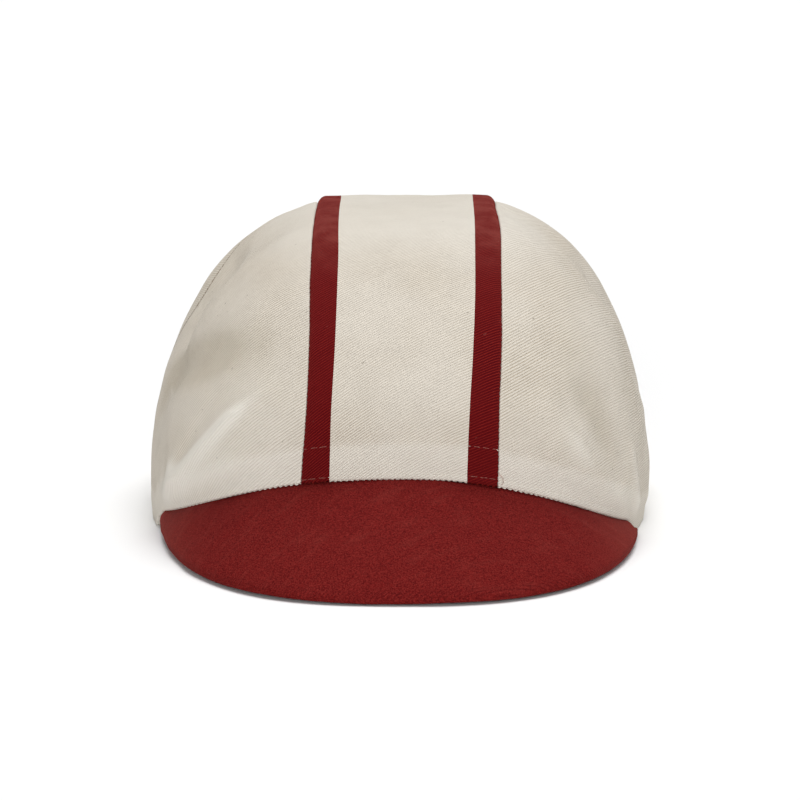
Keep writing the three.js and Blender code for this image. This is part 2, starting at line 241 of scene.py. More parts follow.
# Folds of the front side panels. across and up place three points on the crown, by shares of its half-width
# there and of its height. width and depth are shares of the first two sizes below, a negative depth is a
# valley, crest is how sharp the line is, and tone is whether the fold also gets painted shade in its valley
# and a painted highlight on its crest.
FOLD_WIDTH = 10
FOLD_DEPTH = 2
FOLD_END_SHARE = 0.4
FOLD_STEPS = 24
CREST_RADIUS = 1.7
CREST_SPREAD = 0.55
FOLDS = [  # across, up, width, depth, crest, tone
    ((-0.91, -0.845, -0.74), (0.14, 0.36, 0.55), 0.5, 0.8, 0.3, True),
    ((-0.93, -0.78, -0.58), (0.12, 0.33, 0.52), 0.48, 1.15, 0.85, True),
    ((-0.9, -0.77, -0.56), (0.12, 0.24, 0.34), 0.7, 0.6, 0.4, True),
    ((-0.88, -0.83, -0.72), (0.2, 0.36, 0.56), 0.5, -0.75, 0, True),
    ((-0.98, -0.94, -0.66), (0.4, 0.54, 0.66), 0.9, -1.2, 0, True),
    ((-0.99, -0.997, -0.99), (0.52, 0.72, 0.88), 1.6, -3.1, 0, False),
    ((0.92, 0.78, 0.6), (0.07, 0.24, 0.47), 0.8, 0.9, 0.5, True),
    ((0.94, 0.92, 0.89), (0.06, 0.18, 0.36), 0.5, 0.6, 0.6, True),
    ((0.86, 0.78, 0.74), (0.14, 0.36, 0.6), 1.1, -0.7, 0, True),
    ((0.995, 1, 0.995), (0.36, 0.63, 0.88), 1.9, -2.15, 0, False),
    ((0.98, 0.99, 0.985), (0.04, 0.14, 0.3), 1, 0.6, 0.2, False),
]

# Heights in metres over which the crown's top gets a painted highlight, as where the light from above falls
TOP_LIGHT_LOW = 0.088
TOP_LIGHT_HIGH = 0.102

# Camera and lights
CAMERA_ELEVATION = 11.5
CAMERA_DISTANCE = 1.6
CAMERA_LENS = 216
CAMERA_TARGET = (0.0002, -0.0031, 0.0414)
FLOOR_HALF = 14
WORLD_LIGHT = 0.22
LIGHTS = [  # name, source, strength, spread in degrees
    ("overhead", (0.08, 0.25, 1.0), 2.42, 50),
    ("key", (-0.06, -1.0, 0.26), 1.4, 24),
    ("fill", (0.7, -0.9, 0.7), 0.15, 50),
]


def mix(a, b, share):
    return a + (b - a) * share


def smooth(share):
    share = np.clip(share, 0, 1)
    return share * share * (3 - 2 * share)


def bell(x):
    """1 at 0, and less the further x is from it."""
    return np.exp(-(x**2))


def by_side(place, pair):
    """The value of a pair for the left, where place is negative, or for the right."""
    return np.where(place < 0, *pair)


def eased(count, strength):
    """Shares from 0 to 1, drawn together towards both ends."""
    share = np.linspace(0, 1, count)
    return share - strength * np.sin(2 * np.pi * share) / (2 * np.pi)


def curve(x, xs, ys):
    """A smooth curve through a short table."""
    slopes = np.gradient(ys, xs)
    i = np.clip(np.searchsorted(xs, x) - 1, 0, len(xs) - 2)
    span = xs[i + 1] - xs[i]
    t = np.clip((x - xs[i]) / span, 0, 1)
    ends = ys[i] * (1 + 2 * t) * (1 - t) ** 2 + ys[i + 1] * t**2 * (3 - 2 * t)
    return ends + span * (slopes[i] * t * (1 - t) ** 2 - slopes[i + 1] * t**2 * (1 - t))


def unit(v):
    return v / np.linalg.norm(v, axis=-1, keepdims=True)


def points(x, y, z):
    return np.stack(np.broadcast_arrays(x, y, z), axis=-1).astype(float)


def root_between(value, low, high, shape=()):
    """Roots of a function that rises through zero between low and high."""
    low = np.full(shape, low, dtype=float)
    high = np.full(shape, high, dtype=float)
    for _ in range(38):
        middle = (low + high) / 2
        below = value(middle) < 0
        low = np.where(below, middle, low)
        high = np.where(below, high, middle)
    return (low + high) / 2


def axis_x(z):
    """The crown leans a little: its axis drifts to the right as it rises."""
    return mix(-RIM_SHIFT, TOP_SHIFT, z / CROWN_HEIGHT)


def heading(p):
    """0 at the front, positive to the right, half a turn at the back."""
    return np.arctan2(p[..., 0] - axis_x(p[..., 2]), -p[..., 1])


def plan_radius(angle):
    """The rim's distance from the crown's axis."""
    front = np.cos(angle) > 0
    power = np.where(front, FRONT_SQUARENESS, BACK_SQUARENESS)
    depth = np.where(front, CROWN_FRONT, CROWN_BACK)
    across = np.abs(np.sin(angle)) / CROWN_HALF_WIDTH
    along = np.abs(np.cos(angle)) / depth
    return (across**power + along**power) ** (-1 / power)


def fullness(angle):
    end = np.where(np.cos(angle) > 0, FRONT_FULLNESS, BACK_FULLNESS)
    return mix(end, SIDE_FULLNESS, np.sin(angle) ** 2)


def tuck(angle, z):
    """The rim is drawn in a little, most at the back."""
    amount = mix(SIDE_TUCK, BACK_TUCK, smooth(-np.cos(angle)))
    return 1 - amount * (1 - np.clip(z / TUCK_HEIGHT, 0, 1)) ** 2


def crown_field(p):
    """Negative inside the crown, zero on its surface."""
    angle = heading(p)
    power = fullness(angle)
    out = np.hypot(p[..., 0] - axis_x(p[..., 2]), p[..., 1])
    out = out / (plan_radius(angle) * tuck(angle, p[..., 2]))
    return out**power + (np.maximum(p[..., 2], 0) / CROWN_HEIGHT) ** power - 1


def crown_normal(p):
    step = 0.4
    slopes = [crown_field(p + offset) - crown_field(p - offset) for offset in np.eye(3) * step]
    return unit(np.stack(slopes, axis=-1))


def crown_along(direction):
    """The crown's point in a direction from the middle of its rim."""
    ahead = unit(direction)
    reach = root_between(lambda r: crown_field(ahead * r[..., None]), 0, 2 * CROWN_HEIGHT, ahead.shape[:-1])
    return ahead * reach[..., None]


def crown_over(across, turn):
    """The crown's point at a distance across and a turn over the top, which is 0 in front."""
    across, turn = np.broadcast_arrays(across, turn)

    def at(r):
        z = r * np.sin(turn)
        return points(axis_x(z) + across, -r * np.cos(turn), z)

    return at(root_between(lambda r: crown_field(at(r)), 0, 2 * CROWN_HEIGHT, turn.shape))


def crown_at(angle, z):
    power = fullness(angle)
    shrink = (1 - (z / CROWN_HEIGHT) ** power) ** (1 / power)
    r = plan_radius(angle) * tuck(angle, z) * shrink
    return points(axis_x(z) + r * np.sin(angle), -r * np.cos(angle), z)


def brim_end(half_width):
    return float(root_between(lambda a: plan_radius(a) * np.sin(a) - half_width, 0, math.pi / 2))


END_ANGLES = [brim_end(half_width) for half_width in SEAM_HALF_WIDTHS]


def rim_height(angle):
    """Height of the crown's lower edge: an arch over the brim, down to the flat rim past the brim's tips."""
    tip = by_side(angle, TIP_HEIGHTS)
    away = np.abs(angle) - by_side(angle, END_ANGLES)
    past = (tip - TIP_DROP) * (1 - smooth(away * plan_radius(angle) / HEM_DROP))
    share = np.minimum(plan_radius(angle) * np.abs(np.sin(angle)) / by_side(angle, SEAM_HALF_WIDTHS), 1)
    drop = TIP_DROP * smooth((share - 1 + TIP_DROP_SHARE) / TIP_DROP_SHARE)
    arch = mix(tip, BRIM_SEAM_HEIGHT, 1 - share ** by_side(angle, ARCH_POWERS))
    return np.where(away > 0, past, arch - drop)


def rim_point(angle):
    return crown_at(angle, rim_height(angle))


def rim_distance(p):
    return p[..., 2] - rim_height(heading(p))


def fold_line(across, up):
    """The quadratic curve through a fold's three points, laid on the front half of the crown."""
    t = np.linspace(0, 1, FOLD_STEPS + 1)

    def through(values):
        a, b, c = values
        return a * (1 - t) * (1 - 2 * t) + 4 * b * t * (1 - t) + c * t * (2 * t - 1)

    across = through(across)
    z = through(up) * CROWN_HEIGHT
    side = np.sign(across)

    def width(angle):
        return side * (crown_at(side * angle, z)[..., 0] - axis_x(z))

    target = np.abs(across) * width(np.full(t.shape, math.pi / 2))
    angle = root_between(lambda a: width(a) - target, 0, math.pi / 2, t.shape)
    return crown_at(side * angle, z)


def line_distance(p, line):
    """Distance to a line of points, and the share of the line at the nearest place."""
    flat = p.reshape(-1, 3)
    nearest = np.full(len(flat), np.inf)
    place = np.zeros(len(flat))
    for i in range(len(line) - 1):
        along = line[i + 1] - line[i]
        t = np.clip((flat - line[i]) @ along / (along @ along), 0, 1)
        distance = np.linalg.norm(flat - line[i] - t[:, None] * along, axis=1)
        closer = distance < nearest
        nearest = np.where(closer, distance, nearest)
        place = np.where(closer, (i + t) / (len(line) - 1), place)
    return nearest.reshape(p.shape[:-1]), place.reshape(p.shape[:-1])


FOLD_LINES = [fold_line(across, up) for across, up, *_ in FOLDS]


def fold_relief(p, painted_only=False):
    """Height of the folds above the plain crown: rounded or drawn to a crest, and lower at both ends. The
    last argument leaves out the folds that get no painted shade or highlight."""
    relief = np.zeros(p.shape[:-1])
    for (_, _, width, depth, sharp, tone), line in zip(FOLDS, FOLD_LINES):
        if painted_only and not tone:
            continue
        nearest, place = line_distance(p, line)
        reach = FOLD_WIDTH * width
        along = mix(FOLD_END_SHARE, 1, smooth(4 * place) * smooth(4 * (1 - place)))
        rounded = bell(nearest / reach)
        crest = np.exp(-(np.hypot(nearest, CREST_RADIUS) - CREST_RADIUS) / (CREST_SPREAD * reach))
        relief += FOLD_DEPTH * depth * along * mix(rounded, crest, sharp)
    return relief


def gather_relief(p):
    """A plain ripple, with finer pleats where the elastic pulls at the hem."""
    from_back = np.pi - np.abs(heading(p))
    window = 1 - smooth(from_back / GATHER_HALF_ANGLE)
    ripple = GATHER_DEPTH * np.cos(from_back * GATHER_COUNT) * np.exp(-p[..., 2] / GATHER_REACH)
    side = np.sign(heading(p))
    pleats = PLEAT_DEPTH * np.cos(from_back * PLEAT_COUNT + side * PLEAT_PHASE)
    return window * (ripple + pleats * bell(p[..., 2] / PLEAT_REACH))


def drift(p, length, seed, height=1.0):
    """Smooth unevenness of a given wavelength, the same on each run."""
    random = np.random.default_rng(seed)
    total = np.zeros(p.shape[:-1])
    count = 9
    for _ in range(count):
        direction = unit(random.normal(size=3)) * random.uniform(0.7, 1.3)
        total += np.cos(p @ direction * (2 * math.pi / length) + random.uniform(0, 2 * math.pi))
    return height * total * math.sqrt(2 / count)


def waves(p, table):
    return sum(drift(p, *row) for row in table)


def pucker(p, distance, reach, length, seed):
    """Small waves that a seam draws into the cloth beside it."""
    return PUCKER * bell(distance / reach) * drift(p, length, seed)


def above_rim(p, height):
    return smooth(rim_distance(p) / height)


def strip_line(name, turn):
    """How far one of the stripes' edges lies from the strip's middle."""
    turns, places = (np.array(STRIP_EDGES[key], float) for key in ("turn", name))
    return curve(np.degrees(turn), turns, places)


def strip_half(turn, side):
    return np.where(side < 0, strip_line("left", turn), strip_line("right", turn))


def strip_place(p):
    """A point's turn over the top, its distance across and the strip's half-width there."""
    turn = np.arctan2(p[..., 2], -p[..., 1])
    across = p[..., 0] - axis_x(p[..., 2])
    return turn, across, strip_half(turn, across)


def side_relief(p):
    turn, across, half = strip_place(p)
    away = np.maximum(np.abs(across) - half, 0)
    at_top = smooth((np.sin(turn) - TOP_LIFT_FROM) / (1 - TOP_LIFT_FROM))
    lower = mix(1, TOP_LIFT_SHARE, at_top * np.exp(-away / TOP_LIFT_REACH))
    lift = SIDE_LIFT * np.exp(-away / LIFT_REACH) * above_rim(p, RIDGE_FADE) * lower
    fold = fold_relief(p)
    valleys = np.minimum(fold, 0) * above_rim(p, 3 * HEM_HEIGHT)
    return lift + np.maximum(fold, 0) * above_rim(p, HEM_HEIGHT) + valleys + gather_relief(p)


def strip_relief(p, turn):
    across = p[..., 0] - axis_x(p[..., 2])
    half = strip_half(turn, across)
    across = np.abs(across)
    edge = np.clip((across - half + FOLDED_EDGE_WIDTH) / FOLDED_EDGE_WIDTH, 0, 1)
    at_top = smooth((np.sin(turn) - TOP_EDGE_FROM) / (1 - TOP_EDGE_FROM))
    drop = mix(FOLDED_EDGE_HEIGHT, TOP_EDGE_HEIGHT, at_top)
    ridge = STRIP_RAISE + STRIP_FLATTEN * (across / half) ** 2 - drop * edge**2
    return ridge * above_rim(p, RIDGE_FADE) + gather_relief(p)


def round_off(distance, radius):
    """How far a rounded edge lies below the face beside it."""
    inside = np.clip(radius - distance, 0, radius)
    return radius - np.sqrt(radius**2 - inside**2)


def row_height(row, tilt, angle):
    """A stitch row's height above the rim. It lies a little lower on the strip's left than on its right."""
    return row + tilt * np.clip(np.sin(angle) / ROW_TILT_REACH, -1, 1)


def over_brim(angle):
    """1 where the rim is sewn to the brim, 0 elsewhere."""
    return smooth((by_side(angle, END_ANGLES) - np.abs(angle)) / OVER_BRIM_FADE)


def rim_teeth(angle):
    """The small lobes of cloth between the stitches of the brim's seam: 1 in a lobe, 0 at a stitch."""
    return np.abs(np.sin(plan_radius(angle) * angle * np.pi / RIM_TOOTH)) * over_brim(angle)


def hem_relief(p):
    """The roll at the hem's lower edge, the lobes over the brim and the grooves of the two stitch rows."""
    d = rim_distance(p)
    angle = heading(p)
    roll = ROLL_BULGE * bell((d - ROLL_HEIGHT) / ROLL_REACH) - round_off(d, HEM_EDGE_RADIUS)
    roll += LOBE_HEIGHT * (rim_teeth(angle) - 0.5 * over_brim(angle)) * np.exp(-d / ROLL_REACH)
    heights = (row_height(LOWER_ROW, LOWER_ROW_TILT, angle), row_height(UPPER_ROW, UPPER_ROW_TILT, angle))
    rows = sum(bell((d - row) / ROW_WIDTH) for row in heights)
    pull = 1 + ROW_PULL * np.cos(angle * 2 * np.pi * HEM_RADIUS / (STITCH_LENGTH + STITCH_GAP))
    return roll - ROW_GROOVE * rows * pull + pucker(p, d, *HEM_PUCKER)


def cloth_wall(p, relief, thickness=CLOTH):
    normal = crown_normal(p)
    return p + normal * relief[..., None], p + normal * (relief - thickness)[..., None]


def travelled(p, axis):
    """Distance covered along one axis of a grid of points, from its first line."""
    steps = np.linalg.norm(np.diff(p, axis=axis), axis=-1)
    start = np.zeros_like(np.take(steps, [0], axis=axis))
    return np.concatenate([start, np.cumsum(steps, axis=axis)], axis=axis)


def weave(u, v, angle_start, angle_end, reach):
    """Rib coordinates in millimetres, across the ribs and along them. The ribs rise at angle_start degrees
    where u is -reach and at angle_end where it is reach."""
    middle = math.radians((angle_start + angle_end) / 2)
    start, end = math.tan(math.radians(angle_start)), math.tan(math.radians(angle_end))
    rise = (start + end) / 2 * u + (end - start) / (4 * reach) * u**2
    return points((v - rise) * math.cos(middle), u * math.cos(middle) + v * math.sin(middle), 0)


def add_object(name, data):
    made = bpy.data.objects.new(name, data)
    bpy.context.scene.collection.objects.link(made)
    return made


def new_mesh(name, vertices, faces, ribs, marks, merge=False):
    """A smooth mesh object. Its points carry ribs, the rib coordinates with the height above the rim, and
    marks: the distance from an edge, the height of the folds and the distance from the seam over the ear. On
    the brim the second mark is the share of the way to a tip, and a thread's ribs start with its stain."""
    mesh = bpy.data.meshes.new(name)
    mesh.from_pydata(((vertices + shift) / 1000).tolist(), [], faces)
    for key, values in (("weave", ribs), ("marks", marks)):
        data = mesh.attributes.new(key, "FLOAT_VECTOR", "POINT").data
        data.foreach_set("vector", values.astype(np.float32).ravel())
    if merge:
        no_length = 1e-8
        work = bmesh.new()
        work.from_mesh(mesh)
        bmesh.ops.remove_doubles(work, verts=work.verts, dist=no_length)
        bmesh.ops.dissolve_degenerate(work, edges=work.edges, dist=no_length)
        work.to_mesh(mesh)
        work.free()
    mesh.shade_smooth()
    mesh.set_sharp_from_angle(angle=math.radians(SHARP_ANGLE))
    return add_object(name, mesh)


def grid_faces(columns, rows, offset=0, flip=False, loop=False):
    """Quads of a grid whose points are numbered column by column."""
    i, j = np.meshgrid(np.arange(columns if loop else columns - 1), np.arange(rows - 1), indexing="ij")
    a = i * rows + j
    b = (i + 1) % columns * rows + j
    quads = np.stack([a, a + 1, b + 1, b], axis=-1).reshape(-1, 4) + offset
    return quads[:, ::-1] if flip else quads


def shell(name, outer, inner, ribs, marks, loop=False, merge=False):
    """A closed wall between grids of outer and inner points."""
    columns, rows = outer.shape[:2]
    count = columns * rows
    number = np.arange(count).reshape(columns, rows)
    faces = [grid_faces(columns, rows, loop=loop), grid_faces(columns, rows, count, flip=True, loop=loop)]

    def band(line, flip):
        quads = np.stack([line[:-1], line[1:], line[1:] + count, line[:-1] + count], axis=-1)
        faces.append(quads[:, ::-1] if flip else quads)

    around = np.append(np.arange(columns), 0) if loop else np.arange(columns)
    band(number[around, 0], False)
    band(number[around, -1], True)
    if not loop:
        band(number[0], True)
        band(number[-1], False)
    vertices = np.concatenate([outer.reshape(-1, 3), inner.reshape(-1, 3)])
    both_ribs = np.concatenate([ribs.reshape(-1, 3)] * 2)
    both_marks = np.concatenate([marks.reshape(-1, 3)] * 2)
    piece = new_mesh(name, vertices, np.concatenate(faces).tolist(), both_ribs, both_marks, merge)
    outward(piece)
    return piece


def outward(piece):
    """Turns every face outwards."""
    work = bmesh.new()
    work.from_mesh(piece.data)
    if work.calc_volume(signed=True) < 0:
        bmesh.ops.reverse_faces(work, faces=work.faces)
    work.to_mesh(piece.data)
    work.free()


def front_turn(across):
    """The turn at which a line over the crown leaves the front rim."""
    return root_between(lambda turn: rim_distance(crown_over(across(turn), turn)), 0, math.pi / 3)


def seam_pull(along):
    """1 halfway between two stitches of a seam and 0 where the thread draws it in."""
    return 0.5 + 0.5 * np.cos(along * 2 * np.pi / SEAM_STITCH)


def sewn_edge(distance, radius, dip, along):
    """How far a sewn edge lies below the face beside it."""
    return round_off(distance, radius) * mix(*dip, seam_pull(along))


def side_ribs(p, side, front):
    """A side panel's rib coordinates, on its cloth laid out flat about the middle of its outer face."""
    yaw = math.radians(FRONT_BEARING if front else BACK_BEARING) * side
    tilt = math.radians(SIDE_ELEVATION)
    ahead = np.array([math.sin(yaw) * math.cos(tilt), -math.cos(yaw) * math.cos(tilt), math.sin(tilt)])
    right = np.array([math.cos(yaw), math.sin(yaw), 0])
    above = np.cross(right, -ahead)
    above *= np.sign(above[2])
    direction = unit(p)
    angle = np.arccos(np.clip(direction @ ahead, -1, 1))
    flat = points(direction @ right, direction @ above, 0)
    flat = flat / np.maximum(np.linalg.norm(flat, axis=-1, keepdims=True), 1e-9)
    reach = angle * (np.linalg.norm(p, axis=-1) + SIDE_RADIUS) / 2
    return weave(flat[..., 0] * reach, flat[..., 1] * reach, *SIDE_WEAVE[side, front])


def side_panel(name, side, front):
    """One side panel between the strip and the rim. Its columns run down from the strip's edge, the last one
    along the seam over the ear."""
    columns, rows = FRONT_PANEL_GRID if front else BACK_PANEL_GRID
    seam_hem_depth = by_side(side, SEAM_HEM_DEPTHS)
    shift_y = (-1 if front else 1) * SEAM_GAP / 2

    def edge_across(turn):
        return side * (strip_half(turn, side) + SEAM_GAP / 2)

    def edge(turn):
        return crown_over(edge_across(turn), turn)

    seam_turn = root_between(lambda t: edge(t)[..., 1] - SEAM_TOP_DEPTH - shift_y, 0, math.pi)
    seam_angle = root_between(lambda a: -plan_radius(a) * np.cos(a) - seam_hem_depth - shift_y, 0, math.pi)
    corner_turn = front_turn(edge_across) if front else math.pi
    corner_angle = float(np.abs(heading(edge(np.array(corner_turn)))))
    to_seam = eased(columns + 1, 0.6)[:, None]
    k = eased(rows + 1, 0.74)[None, :]
    top = edge(mix(corner_turn, seam_turn, to_seam))
    hem = rim_point(side * mix(corner_angle, seam_angle, to_seam))
    spread = np.arccos(np.clip(np.sum(unit(top) * unit(hem), axis=-1), -1, 1))[..., None]
    spread = np.maximum(spread, 1e-5)
    from_top = unit(top) * np.sin((1 - k)[..., None] * spread)
    from_hem = unit(hem) * np.sin(k[..., None] * spread)
    bearing = (from_top + from_hem) / np.sin(spread)
    bump = bell((k - SEAM_BUMP_PLACE) / SEAM_BUMP_WIDTH) * np.minimum(1, 8 * k)
    bearing[..., 1] -= by_side(side, SEAM_FORWARD) * to_seam**2 / np.linalg.norm(top, axis=-1) * bump
    p = crown_along(bearing)
    if front:
        p[0] = hem[0]

    down = travelled(p, 1)
    from_seam = travelled(p[::-1], 0)[::-1]
    along_strip = travelled(p, 0)[:, :1]
    from_rim = np.maximum(rim_distance(p), 0)
    plain = side_relief(p)
    relief = plain + hem_relief(p) + waves(p, PANEL_WAVES) + pucker(p, down, *PANEL_PUCKER)
    relief -= sewn_edge(down, PANEL_EDGE_RADIUS, PANEL_TOP_DIP, along_strip)
    relief -= sewn_edge(from_seam, PANEL_EDGE_RADIUS, PANEL_SEAM_DIP, down)
    outer, inner = cloth_wall(p, relief)
    beside_seam = np.minimum(down, from_seam) < PLAIN_WIDTH
    inner = np.where(beside_seam[..., None], cloth_wall(p, plain)[1], inner)
    lobes = RIM_TOOTH_DEPTH * rim_teeth(heading(hem[:, 0]))
    outer[:, -1, 2] = inner[:, -1, 2] = hem[:, 0, 2] - lobes
    if not front:
        outer[0, :, 2] = inner[0, :, 2] = 0
    ribs = side_ribs(p, side, front)
    ribs[..., 2] = from_rim
    edges = np.minimum(np.minimum(down, from_seam), from_rim)
    return shell(name, outer, inner, ribs, points(edges, fold_relief(p, painted_only=True), from_seam), merge=front)


def strip_band(name, start, end, shares, rows, crease=0.0):
    """A band of the strip, between the places across that start and end give for a turn over the top. shares
    place its columns, and crease is the depth of a crease across it."""
    starts = [float(front_turn(lambda t: mix(start(t), end(t), share))) for share in shares]
    turn = mix(np.array(starts)[:, None], math.pi, eased(rows + 1, 0.85)[None, :])
    across = mix(start(turn), end(turn), shares[:, None])
    from_edge = strip_half(turn, across) - np.abs(across)
    pull = seam_pull(travelled(crown_over(across, turn), 1))
    scallop = SCALLOP * (1 - pull) - SEAM_TUCK
    p = crown_over(across - np.sign(across) * scallop * (1 - smooth(from_edge / SCALLOP_REACH)), turn)
    along = travelled(p, 1) + p[:, :1, 2]
    plain = strip_relief(p, turn)
    relief = plain + hem_relief(p) + waves(p, PANEL_WAVES) + pucker(p, from_edge, *STRIP_PUCKER)
    relief -= round_off(from_edge, STRIP_EDGE_RADIUS) * mix(*STRIP_DIP, pull)
    relief -= crease * bell((turn - CREASE_TURN) / CREASE_WIDTH)
    outer, inner = cloth_wall(p, relief)
    inner = np.where((from_edge < PLAIN_WIDTH)[..., None], cloth_wall(p, plain)[1], inner)
    rim = heading(p[:, 0])
    for grid in (outer, inner):
        grid[:, 0, 2] = rim_height(rim) - RIM_TOOTH_DEPTH * rim_teeth(rim)
        grid[:, -1, 2] = 0
    ribs = weave(across, along, *STRIP_WEAVE)
    ribs[..., 2] = from_rim = np.maximum(rim_distance(p), 0)
    return shell(name, outer, inner, ribs, points(np.minimum(from_edge, from_rim), 0, FAR))


def hem_band(name):
    """The hem turned up inside the rim, rounded above and below."""
    angle = np.linspace(-np.pi, np.pi, HEM_BAND_COLUMNS, endpoint=False)[:, None]
    low, rise = np.broadcast_arrays(rim_height(angle), HEM_BAND_RISE)
    p = crown_at(angle, low + rise)
    behind = gather_relief(p) - CLOTH - HEM_BAND_GAP
    roll = round_off(rise, 1.0) + round_off(HEM_BAND_RISE[-1] - rise, 0.6)
    normal = crown_normal(p)
    outer = p + normal * behind[..., None]
    inner = p + normal * (behind - HEM_BAND_THICKNESS + roll * 0.8 + waves(p, HEM_BAND_WAVES))[..., None]
    ribs = weave(travelled(p, 0), rise, *HEM_WEAVE)
    outer[:, 0, 2] = inner[:, 0, 2] = low[:, 0]
    return shell(name, outer, inner, ribs, points(rise, 0, FAR), loop=True)


def brim_edge_y(sweep):
    """The brim's outline. A sweep is 0 in the middle and a quarter turn where the brim is widest."""
    share = np.abs(np.sin(sweep)) ** BRIM_OUTLINE_POWER
    reach = CROWN_FRONT + BRIM_REACH - BRIM_WIDEST_DEPTH
    return -BRIM_WIDEST_DEPTH - reach * (1 - share) ** (1 / BRIM_OUTLINE_POWER)


def end_sweep(end_angle):
    """The outline's sweep at the brim's tip."""
    tip_y = float(rim_point(np.array(end_angle))[1]) - BRIM_TIP_LENGTH
    return float(root_between(lambda s: brim_edge_y(s) - tip_y, 0, math.pi / 2))


END_SWEEPS = [end_sweep(-END_ANGLES[0]), end_sweep(END_ANGLES[1])]


def brim_middle(u, v):
    """Middle surface of the brim: u runs from tip to tip, v from the seam to the outer edge."""
    u, v = np.broadcast_arrays(u, v)
    rim = rim_point(u * by_side(u, END_ANGLES))
    out = unit(rim * np.array([1, 1, 0]))
    seam = rim - out * BRIM_UNDER_WALL
    seam[..., 2] -= BRIM_GAP + BRIM_THICKNESS / 2
    sweep = u * by_side(u, END_SWEEPS)
    z = BRIM_EDGE_THICKNESS / 2 + BRIM_CLEARANCE + BRIM_TIP_LIFT * np.abs(u) ** 3
    edge = points(by_side(u, BRIM_HALF_WIDTHS) * np.sin(sweep), brim_edge_y(sweep), z)
    p = mix(seam, edge, v[..., None])
    p[..., 2] += BRIM_BOW * 4 * v * (1 - v) * np.cos(sweep)
    return p


def brim_directions(u, v):
    """The brim's normal and the direction outwards in its surface."""
    step = 0.01
    low_u, high_u = np.maximum(u - step, -1), np.minimum(u + step, 1)
    low_v, high_v = np.maximum(v - step, 0), np.minimum(v + step, 1)
    across = unit(brim_middle(high_u, v) - brim_middle(low_u, v))
    along = unit(brim_middle(u, high_v) - brim_middle(u, low_v))
    normal = unit(np.cross(along, across))
    return normal, unit(np.cross(across, normal))


def brim_cover(name, upper):
    """A cover of the brim. The upper one rolls over the outer edge and ends below it."""
    columns, rows = UPPER_COVER_GRID if upper else UNDER_COVER_GRID
    side, last = (1, 1) if upper else (-1, UNDER_COVER_REACH)
    u = eased(columns, 0.5)[:, None] * 2 - 1
    v = eased(rows, 0.6)[None, :] * last
    u, v = np.broadcast_arrays(u, v)
    p = brim_middle(u, v)
    true_normal, out = brim_directions(u, v)
    upright = np.array([0.0, 0.0, 1.0])
    normal = unit(mix(upright, true_normal, smooth(v / BRIM_UPRIGHT_SHARE)[..., None]))
    share = np.maximum(v - BRIM_ROUND_FROM, 0) / (1 - BRIM_ROUND_FROM)
    tip = np.minimum((1 - np.abs(u)) * END_ANGLES[1] * plan_radius(END_ANGLES[1]) / BRIM_TIP_TAPER, 1)
    half = mix(BRIM_EDGE_THICKNESS, BRIM_THICKNESS, np.sqrt(1 - share**2) * tip)[..., None] / 2
    wave = waves(p, BRIM_WAVES)[..., None]
    radius = BRIM_EDGE_THICKNESS / 2
    inset = radius * smooth((v - 0.5) / 0.5)[..., None] if upper else 0
    outer = p + normal * (side * half + wave) - out * inset
    inner = p + normal * (side * BRIM_GAP / 2 + wave) - out * inset
    edge = (1 - v) * BRIM_DEPTH
    if upper:
        turns = np.radians(np.linspace(*EDGE_ROLL))[None, :, None]
        arc = (out[:, -1:] * np.cos(turns) + normal[:, -1:] * np.sin(turns)) * radius
        centre = (p - out * inset + normal * wave)[:, -1:]
        outer = np.concatenate([outer, centre + arc], axis=1)
        inner = np.concatenate([inner, centre + arc * 0.25], axis=1)
        past_edge = (turns[..., 0] - math.pi / 2) * radius + 0 * u[:, :1]
        edge = np.concatenate([edge, past_edge], axis=1)
    outer[..., 2] = np.maximum(outer[..., 2], BRIM_CLEARANCE)
    inner[..., 2] = np.maximum(inner[..., 2], BRIM_CLEARANCE + 0.15)
    ribs = weave(outer[..., 0], outer[..., 1] - outer[..., 2] * 0.5, *BRIM_WEAVE)
    tips = np.abs(u[:, :1])
    return shell(name, outer, inner, ribs, points(edge, tips, FAR))


def thread(name, paths, tones, radius):
    """One mesh of short threads, each a tube along its path with closed, narrowed ends. A tone is 1 for a
    thread that the dye has stained and 0 for a clean one."""
    sides = THREAD_SIDES
    vertices, faces, stains = [], [], []
    for path, tone in zip(paths, tones):
        path = np.asarray(path, float)
        ahead = unit(np.gradient(path, axis=0))
        across = unit(np.cross(ahead, [0.13, 0.21, 0.97]))
        other = np.cross(ahead, across)
        start = sum(len(v) for v in vertices)
        rings = len(path)
        width = radius * np.sqrt(np.clip(np.sin(np.linspace(0.12, np.pi - 0.12, rings)) * 1.6, 0.1, 1))
        turn = np.arange(sides) * 2 * math.pi / sides
        ring = across[:, None] * np.cos(turn)[None, :, None] + other[:, None] * np.sin(turn)[None, :, None]
        vertices.append((path[:, None] + ring * width[:, None, None]).reshape(-1, 3))
        stains.append(np.full(rings * sides, float(tone)))
        for i in range(rings - 1):
            for j in range(sides):
                a, b = start + i * sides + j, start + i * sides + (j + 1) % sides
                faces.append([a, b, b + sides, a + sides])
        faces.append([start + j for j in reversed(range(sides))])
        faces.append([start + (rings - 1) * sides + j for j in range(sides)])
    vertices = np.concatenate(vertices)
    stains = points(np.concatenate(stains), 0, 0)
    return new_mesh(name, vertices, faces, stains, np.full(vertices.shape, FAR))


def surface_at(angle, height):
    """The cloth's outer face at a heading and a height above the rim, near the hem."""
    p = crown_at(angle, rim_height(angle) + height)
    turn, across, half = strip_place(p)
    relief = np.where(np.abs(across) < half, strip_relief(p, turn), side_relief(p))
    relief += hem_relief(p) + waves(p, PANEL_WAVES)
    normal = crown_normal(p)
    return p + normal * relief[..., None], normal


